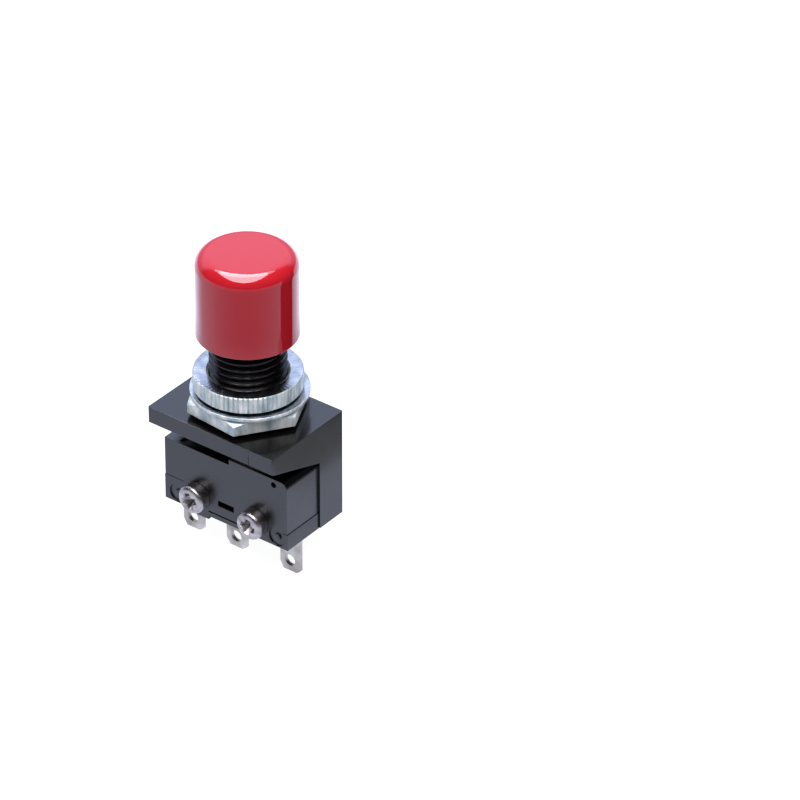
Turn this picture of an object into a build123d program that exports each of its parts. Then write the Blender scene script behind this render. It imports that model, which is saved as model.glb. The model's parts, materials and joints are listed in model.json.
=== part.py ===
from build123d import *
import math
import os

# Panel-mount pushbutton switch, in millimetres.
# Z runs up the threaded neck, X along the microswitch, and the screws face -Y.
# The origin is on the neck's axis, on the ring nut's underside, which is the panel's outer face.

# ---- Driving dimensions ----

# Microswitch case, subminiature size
case_length = 19.8
case_offset = -0.15              # the case's middle, from the neck's axis
case_depth = 6.4
case_height = 10.05
case_low_height = 9.3            # top of the case on the plunger side of its step
case_step_from_left = 10.5
case_corner_radius = 0.9
case_wall = 0.7
cavity_ceiling_height = 8.65     # inside of the cover's roof, above the case's underside
end_wall = 0.8
top_pocket_depth = 0.35
top_pocket_margin = 0.5
top_pocket_from_left = 2.1
pivot_hole_diameter = 0.8
pivot_hole_from_right = 2.1
pivot_hole_height = 9.2
vent_length = 2.6
vent_height = 0.85
vent_from_left = 8.6
vent_base_height = 2.2
base_proud = 0.08                # the base past the cover, at both ends
base_floor = 0.65
cover_foot_gap = 0.2             # open joint between the cover and the base's floor
base_left_height = 3.7
base_right_height = 2.4
screw_block_height = 4.4
screw_block_half_width = 1.72
lug_drop = 0.5
mark_radius = 1.3
mark_depth = 0.2
mark_pin_radius = 0.5
mark_offset = 3.35               # from the screw pitch's ends, outward
mark_height = 1.42

# Screws that hold the case to the holder
screw_pitch = 9.5
screw_height = 2.5               # above the case's underside
screw_diameter = 2.3
screw_hole_clearance = 0.03
screw_length = 10.4
screw_head_diameter = 4.1
screw_head_rim = 0.7
screw_head_height = 1.7
recess_span = 2.4
recess_width = 0.65
recess_depth = 1.05
recess_turns = (17.0, -9.5)
insert_diameter = 3.2
insert_length = 4.2

# Solder terminals
terminal_width = 3.2
terminal_thickness = 0.6
terminal_length = 5.5            # below the case
terminal_seat = 0.4              # how far the wide part runs into the base
terminal_hole_diameter = 1.6
terminal_hole_drop = 3.85
terminal_chamfer = 0.55
terminal_low_chamfer = 0.45      # up the right side
terminal_long_chamfer = 0.95     # up the left side
terminal_front_gap = 2.95        # from the case's front face
nc_from_left = 2.0
no_from_left = 9.12
com_from_right = 1.91
riser_width = 0.8
riser_wall_gap = 0.15
com_riser_width = 1.2
com_riser_offset = 0.35          # from the lug's middle, towards the plunger

# Contacts and the snap mechanism
tab_width = 2.4
tab_thickness = 0.4
contact_radius = 0.9
contact_dome = 0.45
contact_travel = 0.4
contact_clearance = 0.05
moving_contact_thickness = 1.0
contact_from_left = 3.2
tab_reach = 1.1                  # past the contact's centre
arm_width = 2.8
arm_thickness = 0.15
arm_window_width = 1.3
arm_window_gap = 0.4             # from the moving contact
arm_end_margin = 0.15
arm_hinge_margin = 0.6
hinge_from_right = 3.5
hinge_height = 6.2
hinge_roll_radius = 0.25
hinge_shelf_margin = 0.3
anchor_to_hinge = 4.6
anchor_height = 0.55
anchor_thickness = 0.5
tension_spring_width = 1.0
tension_spring_thickness = 0.12
tension_spring_bow = 0.3
tension_spring_gap = 0.1         # to the anchor

# Switch plunger
plunger_radius = 0.85
plunger_flange_radius = 1.4
plunger_flange_height = 0.4
plunger_tip_height = 11.4        # above the case's underside, released
plunger_tip_radius = 0.5
plunger_foot_gap = 0.1
plunger_from_left = 9.3
plunger_bore_clearance = 0.05
button_travel = 1.0

# Moulded holder
holder_past_case = 0.3           # at the right end
axis_to_case_front = 4.74
plate_overhang = 3.12
back_wall_thickness = 4.75
plate_top_height = 15.55         # above the case's underside
plate_thickness = 2.3
gusset_thickness = 2.9
gusset_toe_gap = 0.05            # above the case at the wall
wall_foot_rise = 0.1
holder_edge_radius = 0.2
shoulder_height = 0.55
shoulder_diameter = 12.0
neck_diameter = 10.0
neck_chamfer = 0.5
neck_above_ring = 6.08
neck_counterbore_radius = 3.75
spring_ledge_depth = 1.5         # below the panel plane

# Thread cut in the neck, from inside the ring nut up to the neck's end
thread_pitch = 1.0
thread_depth = 0.5
thread_half_width = 0.42         # of the groove, at the neck's surface
thread_flank_angle = 30.0
thread_start = 1.67              # above the origin, on the +X side
thread_past = 0.06               # how far the groove's cutter stands out of the neck

# Nuts and washer on the neck
thread_clearance = 0.04
panel_gap = 0.25                 # between the washer and the ring nut
washer_diameter = 15.3
washer_bore = 10.5
washer_thickness = 0.5
washer_shift = (0.16, 0.12)
hex_across_flats = 14.0
hex_height = 2.0
hex_turn = -5.1
hex_chamfer_angle = 30.0
hex_chamfer_inset = 0.15         # inside the flats
ring_diameter = 14.1
ring_height = 2.32
ring_knurl_count = 70
ring_knurl_depth = 0.18
ring_low_chamfer = 0.25
ring_top_chamfer = 0.12
nut_countersink = 0.3

# Push rod, clip, spring and cap
rod_radius = 2.6
rod_guide_clearance = 0.05
rod_plunger_gap = 0.1
spigot_radius = 1.9
spigot_length = 6.0
clip_radius = 3.7
clip_thickness = 0.5
clip_groove_depth = 0.6
clip_stop_gap = 0.1
clip_mouth_share = 0.8           # of the groove's radius
clip_relief_width = 1.1
clip_relief_depth = 0.8
clip_well_clearance = 0.4
spring_wire_radius = 0.25
spring_coil_radius = 3.2
spring_turns = 7
spring_end_gap = 0.03
cap_diameter = 13.2
cap_top_diameter = 13.1          # at the top, before its edge is rounded
cap_height = 11.65
cap_fillet = 1.85
cap_roof = 2.0
cap_skirt_wall = 1.3
cap_neck_overlap = 0.63
cap_boss_radius = 4.3
cap_stop_gap = 0.15
cap_press_clearance = 0.01

cut_past = 1.0                   # how far a cut runs on past a face

# ---- Places worked out from the driving dimensions ----

# Heights
hex_top_z = -panel_gap - washer_thickness
hex_low_z = hex_top_z - hex_height
plate_top_z = hex_low_z - shoulder_height
plate_under_z = plate_top_z - plate_thickness
case_z = plate_top_z - plate_top_height
case_top_z = case_z + case_height
neck_top_z = ring_height + neck_above_ring
cap_z = neck_top_z - cap_neck_overlap
cap_boss_z = neck_top_z + button_travel + cap_stop_gap
plunger_tip_z = case_z + plunger_tip_height
rod_foot_z = plunger_tip_z + rod_plunger_gap
clip_top_z = plate_under_z - clip_stop_gap
ledge_z = -spring_ledge_depth
moving_mid_z = (case_z + screw_block_height + contact_clearance + tab_thickness + contact_dome
                + contact_clearance + contact_travel + moving_contact_thickness / 2)
hinge_z = case_z + hinge_height

# Lengths along X and Y
case_left = case_offset - case_length / 2
case_right = case_left + case_length
holder_x = (case_left, case_right + holder_past_case)
case_front = -axis_to_case_front
case_back = case_front + case_depth
holder_front = case_front - plate_overhang
holder_back = case_back + back_wall_thickness
screw_x = (-screw_pitch / 2, screw_pitch / 2)
screw_z = case_z + screw_height
nc_x = case_left + nc_from_left
no_x = case_left + no_from_left
com_x = case_right - com_from_right
terminal_y = case_front + terminal_front_gap
terminal_mid_y = terminal_y + terminal_thickness / 2
contact_x = case_left + contact_from_left
plunger_x = case_left + plunger_from_left
hinge_x = case_right - hinge_from_right
anchor_x = hinge_x - anchor_to_hinge
window_left = contact_x + contact_radius + arm_window_gap


# ---- Helpers ----

def block(x, y, z):
    """A box between two limits on each axis."""
    size = (x[1] - x[0], y[1] - y[0], z[1] - z[0])
    middle = ((x[0] + x[1]) / 2, (y[0] + y[1]) / 2, (z[0] + z[1]) / 2)
    return Pos(*middle) * Box(*size)


def rod_z(x, y, radius, z):
    """An upright cylinder between two heights."""
    return Pos(x, y, (z[0] + z[1]) / 2) * Cylinder(radius, z[1] - z[0])


def rod_y(x, z, radius, y):
    """A cylinder along Y between two depths."""
    return Pos(x, (y[0] + y[1]) / 2, z) * Rot(90, 0, 0) * Cylinder(radius, y[1] - y[0])


def prism_y(points, y):
    """A profile given as (x, z) points, carried along Y between two depths."""
    face = make_face(Polyline(*[(px, 0, pz) for px, pz in points], close=True))
    return Pos(0, y[0], 0) * extrude(face, amount=y[1] - y[0], dir=(0, 1, 0))


def prism_x(points, x):
    """A profile given as (y, z) points, carried along X between two places."""
    face = make_face(Polyline(*[(0, py, pz) for py, pz in points], close=True))
    return Pos(x[0], 0, 0) * extrude(face, amount=x[1] - x[0], dir=(1, 0, 0))


def turned(points):
    """A solid turned about Z from (radius, z) points."""
    face = make_face(Polyline(*[(pr, 0, pz) for pr, pz in points], close=True))
    return revolve(face, Axis.Z)


def rivet(x, y, z, direction, dome=contact_dome):
    """A contact rivet's domed head, standing on a flat at height z and pointing up or down."""
    sphere_radius = (contact_radius ** 2 + dome ** 2) / (2 * dome)
    ball = Pos(x, y, z + direction * (dome - sphere_radius)) * Sphere(sphere_radius)
    ends = sorted((z, z + direction * dome))
    return ball & rod_z(x, y, contact_radius, ends)


# ---- Holder ----

def holder():
    """The moulded plate, back wall and threaded neck, in one piece."""
    plate = block(holder_x, (holder_front, holder_back), (plate_under_z, plate_top_z))
    wall = block(holder_x, (case_back, holder_back), (case_z + wall_foot_rise, plate_top_z))
    gusset = [(holder_front, plate_under_z), (case_back, case_top_z + gusset_toe_gap),
              (case_back, plate_under_z)]
    left = prism_x(gusset, (holder_x[0], holder_x[0] + gusset_thickness))
    right = prism_x(gusset, (holder_x[1] - gusset_thickness, holder_x[1]))
    body = plate + wall + left + right
    upright = body.edges().filter_by(Axis.Z)
    corners = upright.group_by(Axis.Y)[0] + upright.group_by(Axis.Y)[-1]
    body = fillet(corners, holder_edge_radius)
    neck_radius = neck_diameter / 2
    body += rod_z(0, 0, shoulder_diameter / 2, (plate_top_z, hex_low_z))
    body += turned([(0, plate_top_z), (neck_radius, plate_top_z), (neck_radius, neck_top_z - neck_chamfer),
                    (neck_radius - neck_chamfer, neck_top_z), (0, neck_top_z)])
    body -= rod_z(0, 0, rod_radius + rod_guide_clearance, (plate_under_z - cut_past, ledge_z + cut_past))
    body -= rod_z(0, 0, neck_counterbore_radius, (ledge_z, neck_top_z + cut_past))
    body -= rod_z(0, 0, clip_radius + clip_well_clearance, (case_top_z, plate_under_z))
    for x in screw_x:
        body -= rod_y(x, screw_z, insert_diameter / 2, (case_back - cut_past, case_back + insert_length))
    return body - thread_groove()


def thread_groove():
    """The right-hand groove of the thread, which runs out through the neck's end."""
    radius = neck_diameter / 2
    slope = math.tan(math.radians(thread_flank_angle))
    root = (radius - thread_depth, thread_half_width - thread_depth * slope)
    mouth = (radius + thread_past, thread_half_width + thread_past * slope)
    points = [(mouth[0], 0, thread_start - mouth[1]), (root[0], 0, thread_start - root[1]),
              (root[0], 0, thread_start + root[1]), (mouth[0], 0, thread_start + mouth[1])]
    height = neck_top_z + thread_pitch - thread_start
    path = Pos(0, 0, thread_start) * Helix(thread_pitch, height, radius)
    return sweep(make_face(Polyline(*points, close=True)), path=path, is_frenet=True)


# ---- Nuts and washer ----

def hex_nut():
    """A plain nut with one chamfered face and a countersunk thread."""
    flat_radius = hex_across_flats / 2
    corner_radius = flat_radius / math.cos(math.pi / 6)
    chamfer_radius = flat_radius - hex_chamfer_inset
    drop = (corner_radius - chamfer_radius) * math.tan(math.radians(hex_chamfer_angle))
    outline = Rot(0, 0, hex_turn) * RegularPolygon(corner_radius, 6)
    body = Pos(0, 0, hex_low_z) * extrude(outline, amount=hex_height)
    body &= turned([(0, hex_low_z), (corner_radius, hex_low_z), (corner_radius, hex_top_z - drop),
                    (chamfer_radius, hex_top_z), (0, hex_top_z)])
    return body - nut_bore(hex_low_z, hex_top_z)


def washer():
    """A flat washer on the hex nut, a little off the axis in its loose bore."""
    z_range = (hex_top_z, hex_top_z + washer_thickness)
    body = rod_z(*washer_shift, washer_diameter / 2, z_range)
    return body - rod_z(*washer_shift, washer_bore / 2, z_range)


def ring_nut():
    """The round nut that clamps the panel, with a straight knurl."""
    outer = ring_diameter / 2
    step = 2 * math.pi / ring_knurl_count
    points = []
    for i in range(ring_knurl_count):
        points.append((outer * math.cos(i * step), outer * math.sin(i * step)))
        valley = outer - ring_knurl_depth
        points.append((valley * math.cos((i + 0.5) * step), valley * math.sin((i + 0.5) * step)))
    body = extrude(make_face(Polyline(*points, close=True)), amount=ring_height)
    body &= turned([(0, 0), (outer - ring_low_chamfer, 0), (outer, ring_low_chamfer),
                    (outer, ring_height - ring_top_chamfer), (outer - ring_top_chamfer, ring_height),
                    (0, ring_height)])
    return body - nut_bore(0, ring_height)


def nut_bore(bottom, top):
    """A nut's bore over the neck, countersunk at both faces."""
    bore = neck_diameter / 2 + thread_clearance
    wide = bore + nut_countersink
    return turned([(0, bottom), (wide, bottom), (bore, bottom + nut_countersink),
                   (bore, top - nut_countersink), (wide, top), (0, top)])


# ---- Button ----

def button_cap():
    """The round cap, hollow under its roof, with a boss that takes the rod's spigot."""
    top = cap_z + cap_height
    radius = cap_diameter / 2
    body = turned([(0, cap_z), (radius, cap_z), (cap_top_diameter / 2, top), (0, top)])
    body = fillet(body.edges().group_by(Axis.Z)[-1], cap_fillet)
    body -= rod_z(0, 0, radius - cap_skirt_wall, (cap_z - cut_past, top - cap_roof))
    body += rod_z(0, 0, cap_boss_radius, (cap_boss_z, top - cap_roof))
    return body - rod_z(0, 0, spigot_radius + cap_press_clearance,
                        (cap_boss_z - cut_past, cap_boss_z + spigot_length + cap_press_clearance))


def push_rod():
    """The rod from the cap down to the switch's plunger, with a groove for its clip."""
    body = rod_z(0, 0, rod_radius, (rod_foot_z, cap_boss_z))
    body += rod_z(0, 0, spigot_radius, (cap_boss_z, cap_boss_z + spigot_length))
    z_range = (clip_top_z - clip_thickness, clip_top_z)
    return body - (rod_z(0, 0, clip_radius, z_range) - rod_z(0, 0, rod_radius - clip_groove_depth, z_range))


def retaining_clip():
    """The E-shaped clip in the rod's groove that stops the button from coming out."""
    z_range = (clip_top_z - clip_thickness, clip_top_z)
    inner = rod_radius - clip_groove_depth
    body = rod_z(0, 0, clip_radius, z_range) - rod_z(0, 0, inner, z_range)
    mouth = inner * clip_mouth_share
    body -= block((-mouth, mouth), (-clip_radius - cut_past, 0), z_range)
    relief = block((-clip_relief_width / 2, clip_relief_width / 2),
                   (inner / 2, inner + clip_relief_depth), z_range)
    for angle in (60, -60):
        body -= Rot(0, 0, angle) * relief
    return body


def return_spring():
    """The coil between the neck's ledge and the cap's boss."""
    low = ledge_z + spring_wire_radius + spring_end_gap
    high = cap_boss_z - spring_wire_radius - spring_end_gap
    path = Pos(0, 0, low) * Helix((high - low) / spring_turns, high - low, spring_coil_radius)
    section = Plane(path @ 0, z_dir=path % 0) * Circle(spring_wire_radius)
    return sweep(section, path=path, is_frenet=True)


# ---- Microswitch case ----

def base_profile():
    """The base's outline from the front, as (x, z) points."""
    left = case_left - base_proud
    right = case_right + base_proud
    low = case_z
    block_top = case_z + screw_block_height
    left_block = (screw_x[0] - screw_block_half_width, screw_x[0] + screw_block_half_width)
    right_block = (screw_x[1] - screw_block_half_width, screw_x[1] + screw_block_half_width)
    return [(left, low), (left, low + base_left_height), (left_block[0], low + base_left_height),
            (left_block[0], block_top), (left_block[1], block_top), (left_block[1], low + base_floor),
            (right_block[0], low + base_floor), (right_block[0], block_top),
            (right_block[1], block_top), (right_block[1], low + base_right_height),
            (right, low + base_right_height), (right, low), (left_block[1], low),
            (left_block[1], low - lug_drop), (left_block[0], low - lug_drop), (left_block[0], low)]


def switch_base():
    """The lower half of the case, which holds the terminals and takes the screws."""
    body = prism_y(base_profile(), (case_front, case_back))
    for x in screw_x:
        body -= rod_y(x, screw_z, screw_diameter / 2 + screw_hole_clearance,
                      (case_front - cut_past, case_back + cut_past))
    for x in (screw_x[0] - mark_offset, screw_x[1] + mark_offset):
        sink = (case_front, case_front + mark_depth)
        ring = rod_y(x, case_z + mark_height, mark_radius, sink)
        body -= ring - rod_y(x, case_z + mark_height, mark_pin_radius, sink)
    thickness = (terminal_y, terminal_y + terminal_thickness)
    high = case_z + screw_block_height + cut_past
    for x in (nc_x, no_x, com_x):
        half = terminal_width / 2
        body -= block((x - half, x + half), thickness, (case_z - cut_past, case_z + terminal_seat))
    body -= block(nc_riser_x(), thickness, (case_z, high))
    body -= block(no_riser_x(), thickness, (case_z, high))
    body -= block(com_riser_x(), thickness, (case_z, high))
    return body


def switch_cover():
    """The upper half of the case, over the mechanism and down to the base between the screws."""
    step = case_left + case_step_from_left
    y_range = (case_front, case_back)
    through = (case_front - cut_past, case_back + cut_past)
    low_top = case_z + case_low_height
    ceiling = case_z + cavity_ceiling_height
    body = block((case_left, case_right), y_range, (case_z, case_top_z))
    body = fillet(body.edges().filter_by(Axis.Y).group_by(Axis.X)[-1].group_by(Axis.Z)[-1],
                  case_corner_radius)
    body -= block((case_left - cut_past, step), through, (low_top, case_top_z + cut_past))
    body -= block((case_left + top_pocket_from_left, step),
                  (case_front + top_pocket_margin, case_back - top_pocket_margin),
                  (low_top - top_pocket_depth, low_top))
    body -= block((case_left + end_wall, case_right - end_wall),
                  (case_front + case_wall, case_back - case_wall), (case_z - cut_past, ceiling))
    body -= prism_y(base_profile(), through)
    body -= block((case_left - cut_past, case_right + cut_past), through,
                  (case_z - cut_past, case_z + base_floor + cover_foot_gap))
    body -= rod_y(case_right - pivot_hole_from_right, case_z + pivot_hole_height,
                  pivot_hole_diameter / 2, through)
    vent_x = case_left + vent_from_left
    vent_z = case_z + vent_base_height
    body -= block((vent_x, vent_x + vent_length), (case_front - cut_past, case_front + case_wall),
                  (vent_z, vent_z + vent_height))
    return body - rod_z(plunger_x, case_front + case_depth / 2, plunger_radius + plunger_bore_clearance,
                        (ceiling - cut_past, case_top_z + cut_past))


def switch_plunger():
    """The pin that the push rod presses, with a flange that keeps it in the cover."""
    y = case_front + case_depth / 2
    foot_z = moving_mid_z + arm_thickness / 2 + button_travel - plunger_dip() + plunger_foot_gap
    flange_top = case_z + cavity_ceiling_height - contact_clearance
    body = rod_z(plunger_x, y, plunger_radius, (foot_z, plunger_tip_z))
    body = fillet(body.edges().group_by(Axis.Z)[-1], plunger_tip_radius)
    return body + rod_z(plunger_x, y, plunger_flange_radius,
                        (flange_top - plunger_flange_height, flange_top))


def plunger_dip():
    """How far the contact arm sinks under the plunger over the whole travel."""
    return contact_travel * (hinge_x - plunger_x) / (hinge_x - contact_x)


# ---- Terminals ----

def nc_riser_x():
    """The normally closed terminal's riser, near the left end wall."""
    left = case_left + end_wall + riser_wall_gap
    return left, left + riser_width


def no_riser_x():
    """The normally open terminal's riser, between the two screws."""
    return no_x - riser_width / 2, no_x + riser_width / 2


def com_riser_x():
    """The common terminal's riser, at the arm's hinge."""
    middle = com_x - com_riser_offset
    return middle - com_riser_width / 2, middle + com_riser_width / 2


def lug(x):
    """A solder lug: a flat blade with a wire hole and chamfered lower corners."""
    half = terminal_width / 2
    low = case_z - terminal_length
    top = case_z + terminal_seat
    points = [(x - half, top), (x - half, low + terminal_long_chamfer),
              (x - half + terminal_chamfer, low), (x + half - terminal_chamfer, low),
              (x + half, low + terminal_low_chamfer), (x + half, top)]
    thickness = (terminal_y, terminal_y + terminal_thickness)
    hole = rod_y(x, case_z - terminal_hole_drop, terminal_hole_diameter / 2,
                 (thickness[0] - cut_past, thickness[1] + cut_past))
    return prism_y(points, thickness) - hole


def tab_y():
    """Front and back of a contact tab, about the terminals' middle plane."""
    return terminal_mid_y - tab_width / 2, terminal_mid_y + tab_width / 2


def no_tab_z():
    """Bottom and top of the normally open contact's tab."""
    low = case_z + screw_block_height + contact_clearance
    return low, low + tab_thickness


def nc_tab_z():
    """Bottom and top of the normally closed contact's tab."""
    low = moving_mid_z + moving_contact_thickness / 2 + contact_clearance + contact_dome
    return low, low + tab_thickness


def nc_terminal():
    """Lug, riser and the tab above the moving contact."""
    riser = nc_riser_x()
    thickness = (terminal_y, terminal_y + terminal_thickness)
    body = lug(nc_x) + block(riser, thickness, (case_z, nc_tab_z()[1]))
    return body + block((riser[0], contact_x + tab_reach), tab_y(), nc_tab_z())


def no_terminal():
    """Lug, riser and the arm that carries the tab below the moving contact."""
    riser = no_riser_x()
    thickness = (terminal_y, terminal_y + terminal_thickness)
    body = lug(no_x) + block(riser, thickness, (case_z, no_tab_z()[1]))
    body += block((contact_x, riser[1]), thickness, no_tab_z())
    return body + block((contact_x - tab_reach, contact_x + tab_reach), tab_y(), no_tab_z())


def com_terminal():
    """Lug, riser, the shelf under the arm's hinge and the anchor for the tension spring."""
    riser = com_riser_x()
    thickness = (terminal_y, terminal_y + terminal_thickness)
    shelf_top = hinge_z - hinge_roll_radius - contact_clearance
    body = lug(com_x) + block(riser, thickness, (case_z, shelf_top))
    body += block((hinge_x - hinge_shelf_margin, riser[1]), tab_y(), (shelf_top - tab_thickness, shelf_top))
    arm_low = no_tab_z()[0]
    body += block((anchor_x, riser[1]), thickness, (arm_low, arm_low + anchor_thickness))
    return body + block((anchor_x, anchor_x + anchor_thickness), thickness,
                        (arm_low, arm_low + anchor_thickness + anchor_height))


# ---- Contacts and snap mechanism ----

def contact_arm():
    """The springy arm from its rolled end, which is the hinge, to the moving contact.

    A window between the two leaves room for the tension spring.
    """
    end_x = contact_x - contact_radius - arm_end_margin
    y_range = (terminal_mid_y - arm_width / 2, terminal_mid_y + arm_width / 2)
    half = arm_thickness / 2
    points = [(end_x, moving_mid_z - half), (hinge_x, hinge_z - half),
              (hinge_x, hinge_z + half), (end_x, moving_mid_z + half)]
    body = prism_y(points, y_range) + rod_y(hinge_x, hinge_z, hinge_roll_radius, y_range)
    window_y = (terminal_mid_y - arm_window_width / 2, terminal_mid_y + arm_window_width / 2)
    through = (moving_mid_z - cut_past, moving_mid_z + cut_past)
    body -= block((window_left, hinge_x - arm_hinge_margin), window_y, through)
    return body - rod_z(contact_x, terminal_mid_y, contact_radius / 2, through)


def moving_contact():
    """The double contact riveted through the end of the arm."""
    dome = (moving_contact_thickness - arm_thickness) / 2
    faces = (moving_mid_z - arm_thickness / 2, moving_mid_z + arm_thickness / 2)
    core = rod_z(contact_x, terminal_mid_y, contact_radius / 2, faces)
    lower = rivet(contact_x, terminal_mid_y, faces[0], -1, dome)
    upper = rivet(contact_x, terminal_mid_y, faces[1], 1, dome)
    return core + lower + upper


def no_contact():
    """The normally open contact, facing up."""
    return rivet(contact_x, terminal_mid_y, no_tab_z()[1], 1)


def nc_contact():
    """The normally closed contact, facing down."""
    return rivet(contact_x, terminal_mid_y, nc_tab_z()[0], -1)


def tension_spring():
    """The bowed leaf from the arm's end to the anchor."""
    start = (window_left + contact_clearance, moving_mid_z)
    end = (anchor_x - tension_spring_gap, no_tab_z()[0] + anchor_thickness + anchor_height / 2)
    middle = ((start[0] + end[0]) / 2, (start[1] + end[1]) / 2 - tension_spring_bow)
    line = ThreePointArc((start[0], 0, start[1]), (middle[0], 0, middle[1]), (end[0], 0, end[1]))
    width = tension_spring_width
    section = Plane(line @ 0, x_dir=(0, 1, 0), z_dir=line % 0) * Rectangle(width, tension_spring_thickness)
    return Pos(0, terminal_mid_y, 0) * sweep(section, path=line)


# ---- Screws ----

def screw(x, turn):
    """A domed screw with a cross recess, its head on the case's front face."""
    radius = screw_head_diameter / 2
    dome = screw_head_height - screw_head_rim
    ball_radius = (radius ** 2 + dome ** 2) / (2 * dome)
    head = rod_z(0, 0, radius, (0, screw_head_height))
    head &= Pos(0, 0, screw_head_height - ball_radius) * Sphere(ball_radius)
    body = head + rod_z(0, 0, screw_diameter / 2, (-screw_length, 0))
    depth = (screw_head_height - recess_depth, screw_head_height + cut_past)
    half_span = (-recess_span / 2, recess_span / 2)
    half_width = (-recess_width / 2, recess_width / 2)
    body -= block(half_span, half_width, depth) + block(half_width, half_span, depth)
    return Pos(x, case_front, screw_z) * Rot(90, 0, 0) * Rot(0, 0, turn) * body


def mounting_screws():
    """Both screws, as a group of separate solids."""
    return Compound(children=[solid_of(screw(x, turn)) for x, turn in zip(screw_x, recess_turns)])


def threaded_inserts():
    """The brass inserts in the back wall that the screws turn into."""
    inserts = []
    for x in screw_x:
        span = (case_back, case_back + insert_length)
        body = rod_y(x, screw_z, insert_diameter / 2, span)
        body -= rod_y(x, screw_z, screw_diameter / 2, (span[0] - cut_past, span[1] + cut_past))
        inserts.append(solid_of(body))
    return Compound(children=inserts)


def solid_of(shape):
    """The one solid in a shape."""
    return shape.solids()[0]


# ---- Write one file for each sub-part ----

parts = {
    "holder": holder,
    "hex_nut": hex_nut,
    "washer": washer,
    "ring_nut": ring_nut,
    "button_cap": button_cap,
    "push_rod": push_rod,
    "retaining_clip": retaining_clip,
    "return_spring": return_spring,
    "switch_base": switch_base,
    "switch_cover": switch_cover,
    "switch_plunger": switch_plunger,
    "contact_arm": contact_arm,
    "tension_spring": tension_spring,
    "moving_contact": moving_contact,
    "no_contact": no_contact,
    "nc_contact": nc_contact,
    "com_terminal": com_terminal,
    "no_terminal": no_terminal,
    "nc_terminal": nc_terminal,
    "mounting_screws": mounting_screws,
    "threaded_inserts": threaded_inserts,
}

os.makedirs("parts", exist_ok=True)
for name, make in parts.items():
    export_step(make(), f"parts/{name}.step")
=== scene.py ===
import json
import math

import bmesh
import bpy
from mathutils import Matrix, Vector


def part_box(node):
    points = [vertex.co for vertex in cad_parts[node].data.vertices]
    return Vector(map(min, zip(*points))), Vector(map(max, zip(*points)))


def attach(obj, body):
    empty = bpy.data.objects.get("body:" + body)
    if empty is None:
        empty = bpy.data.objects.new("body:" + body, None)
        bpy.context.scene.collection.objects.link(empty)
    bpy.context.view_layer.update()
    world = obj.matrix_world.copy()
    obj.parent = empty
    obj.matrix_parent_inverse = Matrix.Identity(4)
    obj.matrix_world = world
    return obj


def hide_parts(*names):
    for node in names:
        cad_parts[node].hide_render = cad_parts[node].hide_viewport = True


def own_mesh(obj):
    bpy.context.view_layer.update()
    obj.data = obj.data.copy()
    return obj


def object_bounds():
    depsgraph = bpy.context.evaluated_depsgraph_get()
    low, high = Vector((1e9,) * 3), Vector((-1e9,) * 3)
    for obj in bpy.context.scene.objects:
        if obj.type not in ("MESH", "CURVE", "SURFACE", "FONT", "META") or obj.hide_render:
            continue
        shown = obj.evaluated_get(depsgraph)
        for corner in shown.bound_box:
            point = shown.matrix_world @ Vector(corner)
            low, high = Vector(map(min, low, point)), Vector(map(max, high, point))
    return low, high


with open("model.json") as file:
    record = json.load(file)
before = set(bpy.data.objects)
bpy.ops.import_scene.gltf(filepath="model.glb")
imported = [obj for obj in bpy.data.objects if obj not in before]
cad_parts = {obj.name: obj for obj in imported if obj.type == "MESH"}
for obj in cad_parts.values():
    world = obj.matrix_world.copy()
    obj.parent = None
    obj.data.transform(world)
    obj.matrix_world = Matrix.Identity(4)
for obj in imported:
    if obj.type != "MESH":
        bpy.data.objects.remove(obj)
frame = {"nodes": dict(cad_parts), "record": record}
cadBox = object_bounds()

# Panel-mount pushbutton: red cap, threaded neck with two nuts, holder and microswitch.
# Everything is in metres in the part's own frame, so sizes below are written in mm and scaled once.
mm = 0.001
nodes = frame["nodes"]
record = frame["record"]
slotOf = {part["node"]: part["material_slot"] for part in record["subparts"]}
bodyOf = {node: body for body, names in record["behaviour"]["bodies"].items() for node in names}
print("frame loaded,", len(nodes), "nodes")

# Camera: a long lens from the front right, a little above
cameraPlace = {
    "azimuth": 37.051,
    "elevation": 33.337,
    "roll": 0.3,
    "lens": 223.24,
    "distance": 630,
    "aim": (0, -1.54, -11.85),     # middle of the switch
    "slideRight": 20.054,          # the object stands left of the middle
    "slideUp": 8.571,
}


def placeCamera(place):
    azimuth, elevation, roll = (math.radians(place[k]) for k in ("azimuth", "elevation", "roll"))
    back = Vector((math.sin(azimuth) * math.cos(elevation), -math.cos(azimuth) * math.cos(elevation),
                   math.sin(elevation)))
    level = Vector((math.cos(azimuth), math.sin(azimuth), 0))
    upright = back.cross(level)
    right = math.cos(roll) * level + math.sin(roll) * upright
    up = back.cross(right)
    spot = Vector(place["aim"]) + place["distance"] * back
    spot += place["slideRight"] * right + place["slideUp"] * up
    lens = bpy.data.cameras.new("camera")
    lens.lens = place["lens"]
    lens.clip_start = 0.01
    lens.clip_end = 20
    camera = bpy.data.objects.new("camera", lens)
    bpy.context.scene.collection.objects.link(camera)
    turn = Matrix((right, up, back)).transposed().to_4x4()
    camera.matrix_world = Matrix.Translation(spot * mm) @ turn
    bpy.context.scene.camera = camera


placeCamera(cameraPlace)
print("camera placed")


# Small helpers for materials

def hexColour(text):
    channels = [int(text[i:i + 2], 16) / 255 for i in (1, 3, 5)]
    return [c / 12.92 if c <= 0.04045 else ((c + 0.055) / 1.055) ** 2.4 for c in channels] + [1.0]


def perLength(size):
    return 1 / (size * mm)         # texture scale for a pattern that repeats every size mm


def addNode(tree, kind, settings=(), links=()):
    node = tree.nodes.new(kind)
    for name, value in dict(settings).items():
        if isinstance(name, int) or name in node.inputs:
            node.inputs[name].default_value = value
        else:
            setattr(node, name, value)
    for name, socket in dict(links).items():
        tree.links.new(socket, node.inputs[name])
    return node


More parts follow.
